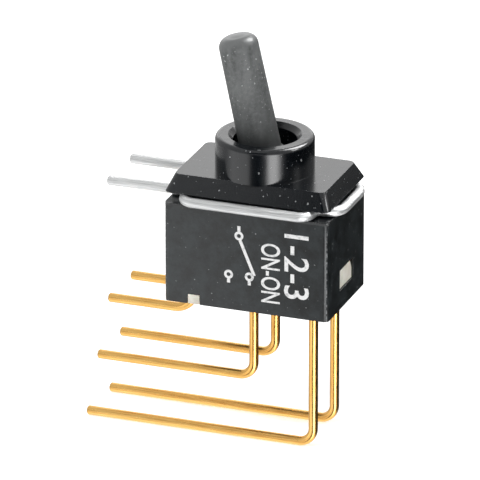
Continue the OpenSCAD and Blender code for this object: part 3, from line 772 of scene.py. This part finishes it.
def turned_metal(name, dark, light, rough, ring, axis):
    """Metal turned, ground or rolled: fine lines, given in millimetres apart, run square to the axis, and its
    tone changes faintly with them. They are a few times as coarse as real ones, or they wouldn't show."""
    material, tree, shader = start_material(name, Metallic=1)
    place = add(tree, "ShaderNodeTexCoord").outputs["Object"]
    along = add(tree, "ShaderNodeVectorMath", operation="DOT_PRODUCT", sockets={1: axis}, links={0: place})
    rings = add(tree, "ShaderNodeTexNoise", noise_dimensions="1D", links={"W": along.outputs["Value"]},
                sockets={"Scale": per_metre(ring), "Detail": 4})
    tint = add(tree, "ShaderNodeValToRGB", links={"Fac": rings.outputs["Fac"]})
    set_tones(tint, (0.35, dark), (0.65, light))
    tree.links.new(tint.outputs["Color"], shader.inputs["Base Color"])
    worn = add(tree, "ShaderNodeMapRange", sockets={"To Min": rough, "To Max": rough + 0.15},
               links={"Value": rings.outputs["Fac"]})
    tree.links.new(worn.outputs["Result"], shader.inputs["Roughness"])
    bump = add(tree, "ShaderNodeBump", sockets={"Strength": 0.4, "Distance": 0.000003},
               links={"Height": rings.outputs["Fac"]})
    tree.links.new(bump.outputs["Normal"], shader.inputs["Normal"])
    return material


steel = turned_metal("ground steel", "#9a9da0", "#c9cccf", 0.2, ring=0.03, axis=(0, 1, 0))
pin_low, pin_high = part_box("pivot_pin")
pin_radius, pin_half, chamfer = (pin_high.z - pin_low.z) / 2, pin_high.y, 0.00005
pin = bmesh.new()
half_pin = [(pin_radius, pin_half - chamfer), (pin_radius - chamfer, pin_half), (0, pin_half)]
turn_profile(pin, [(r, -z) for r, z in reversed(half_pin)] + half_pin, 48)
pin.transform(Matrix.Rotation(math.radians(90), 4, "X"))
add_piece("ground_pin", pin, steel, "lever", "pin_steel", "pivot_pin")

# Drive block
# Natural nylon block pressed on the lever's tail, with a bore for each pole's plunger and spring. It is of
# the base's off-white nylon, with corners a little rounder.

block = joined_copy("drive_block")
round_edges(block, 0.00003)
add_piece("bored_block", block, off_white, "lever", "drive_block", "drive_block")

# Plungers
# Hollow brass plungers, drawn from strip and then turned to size, so that fine rings from the lathe run round
# them. Their round noses ride in the dished contacts.

brass = turned_metal("drawn brass, turned to size", "#b8924a", "#dcbf78", 0.22, ring=0.04, axis=shaft_axis)
outside, inside, nose, top, floor_of_bore, lip = 0.34, 0.24, 3.79, 2.19, 3.39, 0.03
for pole, side in (("front", -1.27), ("rear", 1.27)):
    plunger = bmesh.new()
    profile = [(0, -nose)] + arc(0, outside - nose, outside, -84, 0, 14)
    profile += [(outside, -top - lip), (outside - lip, -top), (inside + lip, -top), (inside, -top - lip)]
    profile += [(inside, -floor_of_bore + lip), (inside - lip, -floor_of_bore), (0, -floor_of_bore)]
    turn_profile(plunger, profile, 64)
    plunger.transform(lean @ Matrix.Scale(0.001, 4) @ Matrix.Translation((0, side, 0)))
    add_piece(f"brass_plunger_{pole}", plunger, brass, f"plunger_{pole}", "plunger", f"plunger_{pole}")

# Springs
# Coil springs of hard drawn wire with closed ends, one in each plunger's bore, that press the noses on the
# contacts. Drawing leaves the wire dull grey with faint marks.


def coil_tree():
    """A coil spring with closed ends that stands on the origin and rises along Z: slowly over the closed
    turns of its foot and head, which nearly touch, and evenly between them."""
    closed_gap, sides = 2.1, 14
    tree, given = open_tree("coil spring", turns="Float", closed_turns="Float", length="Float",
                            coil_radius="Float", wire_radius="Float", steps="Int", finish="Material")
    line = add(tree, "GeometryNodeCurvePrimitiveLine")
    fine = add(tree, "GeometryNodeResampleCurve",
               links={"Curve": line.outputs["Curve"], "Count": given["steps"]})
    share = add(tree, "GeometryNodeSplineParameter").outputs["Factor"]
    turned = add(tree, "ShaderNodeMath", operation="MULTIPLY",
                 links={0: share, 1: given["turns"]}).outputs["Value"]
    angle = add(tree, "ShaderNodeMath", operation="MULTIPLY", sockets={1: 2 * math.pi},
                links={0: turned}).outputs["Value"]
    pair = [add(tree, "ShaderNodeMath", operation=wave, links={0: angle}).outputs["Value"]
            for wave in ("COSINE", "SINE")]
    x, y = (add(tree, "ShaderNodeMath", operation="MULTIPLY",
                links={0: wave, 1: given["coil_radius"]}).outputs["Value"] for wave in pair)
    pitch = add(tree, "ShaderNodeMath", operation="MULTIPLY", sockets={1: closed_gap},
                links={0: given["wire_radius"]})
    closed = add(tree, "ShaderNodeMath", operation="MULTIPLY",
                 links={0: pitch.outputs["Value"], 1: given["closed_turns"]}).outputs["Value"]
    opened = add(tree, "ShaderNodeMath", operation="MULTIPLY_ADD", sockets={1: -2},
                 links={0: closed, 2: given["length"]})
    last = add(tree, "ShaderNodeMath", operation="SUBTRACT",
               links={0: given["turns"], 1: given["closed_turns"]}).outputs["Value"]
    foot = add(tree, "ShaderNodeMapRange",
               links={"Value": turned, "From Max": given["closed_turns"], "To Max": closed})
    body = add(tree, "ShaderNodeMapRange", links={"Value": turned, "From Min": given["closed_turns"],
                                                  "From Max": last, "To Max": opened.outputs["Value"]})
    head = add(tree, "ShaderNodeMapRange",
               links={"Value": turned, "From Min": last, "From Max": given["turns"], "To Max": closed})
    lower = add(tree, "ShaderNodeMath", operation="ADD",
                links={0: foot.outputs["Result"], 1: body.outputs["Result"]})
    z = add(tree, "ShaderNodeMath", operation="ADD",
            links={0: lower.outputs["Value"], 1: head.outputs["Result"]})
    at = add(tree, "ShaderNodeCombineXYZ", links={"X": x, "Y": y, "Z": z.outputs["Value"]})
    wound = add(tree, "GeometryNodeSetPosition",
                links={"Geometry": fine.outputs["Curve"], "Position": at.outputs["Vector"]})
    section = add(tree, "GeometryNodeCurvePrimitiveCircle", sockets={"Resolution": sides},
                  links={"Radius": given["wire_radius"]})
    swept = add(tree, "GeometryNodeCurveToMesh", sockets={"Fill Caps": True},
                links={"Curve": wound.outputs["Geometry"], "Profile Curve": section.outputs["Curve"]})
    return close_tree(tree, swept.outputs["Mesh"], given["finish"])


coil = coil_tree()
spring_wire = turned_metal("spring steel, hard drawn", "#7d8184", "#abafb2", 0.28, ring=0.05,
                           axis=shaft_axis)
coil_radius, coil_wire, coil_low, coil_high = 0.00018, 0.00004, -0.00338, -0.00147
for pole, side in (("front", -0.00127), ("rear", 0.00127)):
    spring = bmesh.new()
    spring.from_mesh(from_nodes(coil, bpy.data.meshes.new("coil"), turns=7.0, closed_turns=0.8,
                                length=coil_high - coil_low - 2 * coil_wire, coil_radius=coil_radius,
                                wire_radius=coil_wire, steps=253, finish=spring_wire))
    spring.transform(lean @ Matrix.Translation((0, side, coil_low + coil_wire)))
    piece = add_piece(f"coil_spring_{pole}", spring, spring_wire, "lever", "spring_steel", f"spring_{pole}")
    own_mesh(piece)

# Contacts
# Strips of phosphor bronze, pressed to a dish with two dimpled arms, that rock on the middle legs' heads. Two
# ears keep each one on its head. Rolled, so fine lines run along them, and gold-plated.

strip_gold = turned_metal("gold-plated phosphor bronze", "#c99443", "#e9c072", 0.26, ring=0.03,
                          axis=(0, 1, 0))
for pole in ("front", "rear"):
    strip = joined_copy(f"contactor_{pole}")
    round_edges(strip, 0.000012)
    add_piece(f"rocking_contact_{pole}", strip, strip_gold, f"contactor_{pole}", "contact_strip",
              f"contactor_{pole}")

# Seal
# Black epoxy, poured into the well under the base while the switch stood on its head. It set glossy, with a
# slow ripple on its face.


def cast_epoxy():
    """Poured epoxy: nearly black, glossy, with a ripple about a millimetre long and a few tiny bubbles, which
    are drawn a quarter of a millimetre apart."""
    ripple_long, bubbles_apart = 0.909, 0.238
    material, tree, shader = start_material("epoxy, cast", IOR=1.55)
    place = add(tree, "ShaderNodeTexCoord").outputs["Object"]
    ripple = add(tree, "ShaderNodeTexNoise", sockets={"Scale": per_metre(ripple_long), "Detail": 1},
                 links={"Vector": place}).outputs["Fac"]
    bubble = add(tree, "ShaderNodeTexVoronoi", sockets={"Scale": per_metre(bubbles_apart)},
                 links={"Vector": place})
    tone = add(tree, "ShaderNodeMapRange", sockets={"From Min": 0.3, "From Max": 0.7},
               links={"Value": ripple})
    tint = add(tree, "ShaderNodeMix", data_type="RGBA", links={"Factor": tone.outputs["Result"]},
               sockets={6: linear("#17181a"), 7: linear("#26282b")})
    tree.links.new(tint.outputs[2], shader.inputs["Base Color"])
    skin = add(tree, "ShaderNodeMapRange", sockets={"To Min": 0.12, "To Max": 0.3}, links={"Value": ripple})
    tree.links.new(skin.outputs["Result"], shader.inputs["Roughness"])
    slow = add(tree, "ShaderNodeBump", sockets={"Strength": 0.5, "Distance": 0.00003},
               links={"Height": ripple})
    pocked = add(tree, "ShaderNodeMapRange", sockets={"From Max": 0.25},
                 links={"Value": bubble.outputs["Distance"]})
    bump = add(tree, "ShaderNodeBump", sockets={"Strength": 0.25, "Distance": 0.000008},
               links={"Height": pocked.outputs["Result"], "Normal": slow.outputs["Normal"]})
    tree.links.new(bump.outputs["Normal"], shader.inputs["Normal"])
    return material


seal = joined_copy("terminal_seal")
round_edges(seal, 0.00002)
add_piece("epoxy_seal", seal, cast_epoxy(), "case", "seal", "terminal_seal")
